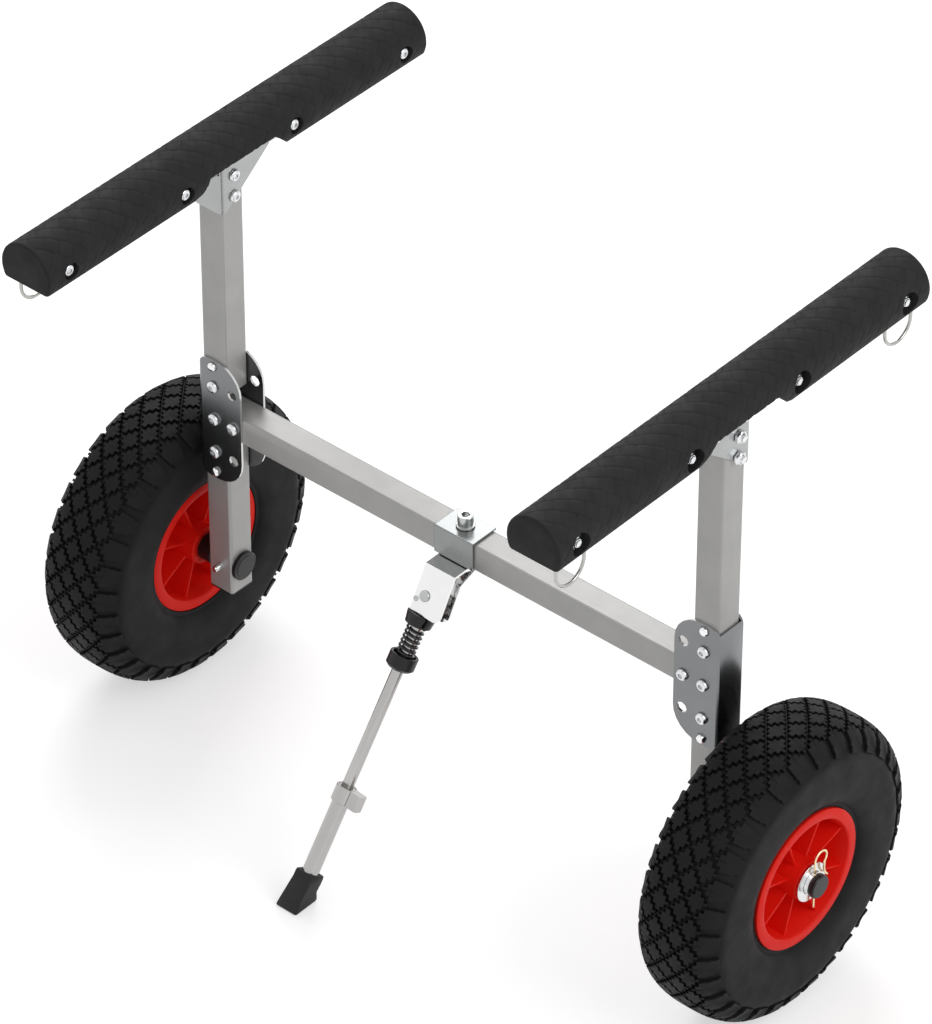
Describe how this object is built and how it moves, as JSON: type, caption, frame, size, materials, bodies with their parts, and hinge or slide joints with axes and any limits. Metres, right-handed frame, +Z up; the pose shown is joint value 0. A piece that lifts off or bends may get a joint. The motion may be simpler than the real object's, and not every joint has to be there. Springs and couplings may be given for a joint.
{
  "type": "paddleboard cart",
  "caption": "Folding two-wheeled cart for a paddleboard: cross beam, padded side rails on folding posts, air tyres and a sprung prop stand.",
  "frame": {"origin": "on the floor, under the middle of the cross beam", "axes": "+X along the cross beam to the right-hand wheel, +Y along the pads away from the stand, +Z up"},
  "size_m": [0.7272, 0.435, 0.567],
  "materials": {
    "aluminium_tube": "satin",
    "steel_plate": "satin",
    "zinc_plate": "zinc plated",
    "polished_steel": "polished",
    "gold_wire": "passivated",
    "foam": "matt, lightly textured",
    "tyre_rubber": "matt",
    "foot_rubber": "matt",
    "red_plastic": "moulded",
    "black_plastic": "moulded",
    "black_steel": "oiled black"
  },
  "bodies": {
    "frame": {"cross_beam": "aluminium_tube", "left_corner_bracket": "steel_plate", "right_corner_bracket": "steel_plate", "left_upper_pivot_bolt": "zinc_plate", "left_outer_beam_bolt": "zinc_plate", "left_inner_beam_bolt": "zinc_plate", "left_lower_pivot_bolt": "zinc_plate", "right_upper_pivot_bolt": "zinc_plate", "right_outer_beam_bolt": "zinc_plate", "right_inner_beam_bolt": "zinc_plate", "right_lower_pivot_bolt": "zinc_plate", "stand_clamp": "zinc_plate", "stand_clamp_screw": "zinc_plate", "stand_fork": "polished_steel", "stand_pivot_pin": "polished_steel"},
    "left_upper": {"left_upper_post": "aluminium_tube", "left_pad_bracket": "zinc_plate", "left_high_bracket_bolt": "zinc_plate", "left_low_bracket_bolt": "zinc_plate", "left_pad_rail": "aluminium_tube", "left_pad": "foam", "left_near_pad_bolt": "zinc_plate", "left_far_pad_bolt": "zinc_plate"},
    "right_upper": {"right_upper_post": "aluminium_tube", "right_pad_bracket": "zinc_plate", "right_high_bracket_bolt": "zinc_plate", "right_low_bracket_bolt": "zinc_plate", "right_pad_rail": "aluminium_tube", "right_pad": "foam", "right_near_pad_bolt": "zinc_plate", "right_far_pad_bolt": "zinc_plate"},
    "left_lower": {"left_lower_post": "aluminium_tube", "left_axle": "polished_steel", "left_axle_spacer": "black_plastic", "left_hub_washer": "zinc_plate"},
    "right_lower": {"right_lower_post": "aluminium_tube", "right_axle": "polished_steel", "right_axle_spacer": "black_plastic", "right_hub_washer": "zinc_plate"},
    "left_wheel": {"left_tyre": "tyre_rubber", "left_rim": "red_plastic"},
    "right_wheel": {"right_tyre": "tyre_rubber", "right_rim": "red_plastic"},
    "left_upper_button": {"left_upper_snap_clip": "polished_steel"},
    "left_lower_button": {"left_lower_snap_clip": "polished_steel"},
    "right_upper_button": {"right_upper_snap_clip": "polished_steel"},
    "right_lower_button": {"right_lower_snap_clip": "polished_steel"},
    "left_near_ring": {"left_near_ring": "polished_steel"},
    "left_far_ring": {"left_far_ring": "polished_steel"},
    "right_near_ring": {"right_near_ring": "polished_steel"},
    "right_far_ring": {"right_far_ring": "polished_steel"},
    "left_clip": {"left_r_clip": "gold_wire"},
    "right_clip": {"right_r_clip": "gold_wire"},
    "stand_leg": {"stand_rod": "polished_steel", "stand_spring": "black_steel", "stand_spring_collar": "black_plastic"},
    "stand_seat": {"stand_spring_seat": "black_plastic"},
    "stand_extension": {"stand_leg_tube": "polished_steel", "stand_leg_clamp": "polished_steel", "stand_foot": "foot_rubber"}
  },
  "joints": [
    {"name": "left_upper_fold", "type": "hinge", "parent": "frame", "child": "left_upper", "pos_m": [-0.2535, 0, 0.3163], "axis": [0, 1, 0], "range_deg": [0, 87]},
    {"name": "right_upper_fold", "type": "hinge", "parent": "frame", "child": "right_upper", "pos_m": [0.2535, 0, 0.3163], "axis": [0, -1, 0], "range_deg": [0, 87]},
    {"name": "left_lower_fold", "type": "hinge", "parent": "frame", "child": "left_lower", "pos_m": [-0.2535, 0, 0.2503], "axis": [0, -1, 0], "range_deg": [0, 86]},
    {"name": "right_lower_fold", "type": "hinge", "parent": "frame", "child": "right_lower", "pos_m": [0.2535, 0, 0.2503], "axis": [0, 1, 0], "range_deg": [0, 90]},
    {"name": "left_wheel_spin", "type": "hinge", "parent": "left_lower", "child": "left_wheel", "pos_m": [-0.3145, 0, 0.131], "axis": [1, 0, 0], "continuous": true},
    {"name": "right_wheel_spin", "type": "hinge", "parent": "right_lower", "child": "right_wheel", "pos_m": [0.3145, 0, 0.131], "axis": [1, 0, 0], "continuous": true},
    {"name": "left_upper_button_press", "type": "slide", "parent": "left_upper", "child": "left_upper_button", "axis": [0, 1, 0], "range_m": [0, 0.0035], "stiffness_N_per_m": 500, "springref_m": -0.004, "deforming": ["left_upper_snap_clip"]},
    {"name": "left_lower_button_press", "type": "slide", "parent": "left_lower", "child": "left_lower_button", "axis": [0, 1, 0], "range_m": [0, 0.0035], "stiffness_N_per_m": 500, "springref_m": -0.004, "deforming": ["left_lower_snap_clip"]},
    {"name": "right_upper_button_press", "type": "slide", "parent": "right_upper", "child": "right_upper_button", "axis": [0, 1, 0], "range_m": [0, 0.0035], "stiffness_N_per_m": 500, "springref_m": -0.004, "deforming": ["right_upper_snap_clip"]},
    {"name": "right_lower_button_press", "type": "slide", "parent": "right_lower", "child": "right_lower_button", "axis": [0, 1, 0], "range_m": [0, 0.0035], "stiffness_N_per_m": 500, "springref_m": -0.004, "deforming": ["right_lower_snap_clip"]},
    {"name": "left_near_ring_swing", "type": "hinge", "parent": "left_upper", "child": "left_near_ring", "pos_m": [-0.2679, -0.1925, 0.5413], "axis": [1, 0, 0], "range_deg": [-12, 12]},
    {"name": "left_far_ring_swing", "type": "hinge", "parent": "left_upper", "child": "left_far_ring", "pos_m": [-0.2679, 0.1925, 0.5413], "axis": [1, 0, 0], "range_deg": [-12, 12]},
    {"name": "right_near_ring_swing", "type": "hinge", "parent": "right_upper", "child": "right_near_ring", "pos_m": [0.2679, -0.1925, 0.5413], "axis": [1, 0, 0], "range_deg": [-12, 12]},
    {"name": "right_far_ring_swing", "type": "hinge", "parent": "right_upper", "child": "right_far_ring", "pos_m": [0.2679, 0.1925, 0.5413], "axis": [1, 0, 0], "range_deg": [-12, 12]},
    {"name": "left_clip_pull", "type": "slide", "parent": "left_lower", "child": "left_clip", "axis": [0, 0, 1], "range_m": [0, 0.036]},
    {"name": "right_clip_pull", "type": "slide", "parent": "right_lower", "child": "right_clip", "axis": [0, 0, 1], "range_m": [0, 0.036]},
    {"name": "stand_fold", "type": "hinge", "parent": "frame", "child": "stand_leg", "pos_m": [-0.0053, -0.0352, 0.2455], "axis": [0, 0.866, -0.5], "range_deg": [-78, 0]},
    {"name": "stand_seat_slide", "type": "slide", "parent": "stand_leg", "child": "stand_seat", "axis": [-0.0732, -0.4987, -0.8637], "range_m": [0, 0.0065], "stiffness_N_per_m": 600, "springref_m": -0.005, "deforming": ["stand_spring"]},
    {"name": "stand_extension_slide", "type": "slide", "parent": "stand_leg", "child": "stand_extension", "axis": [0.0732, 0.4987, 0.8637], "range_m": [0, 0.055]}
  ]
}
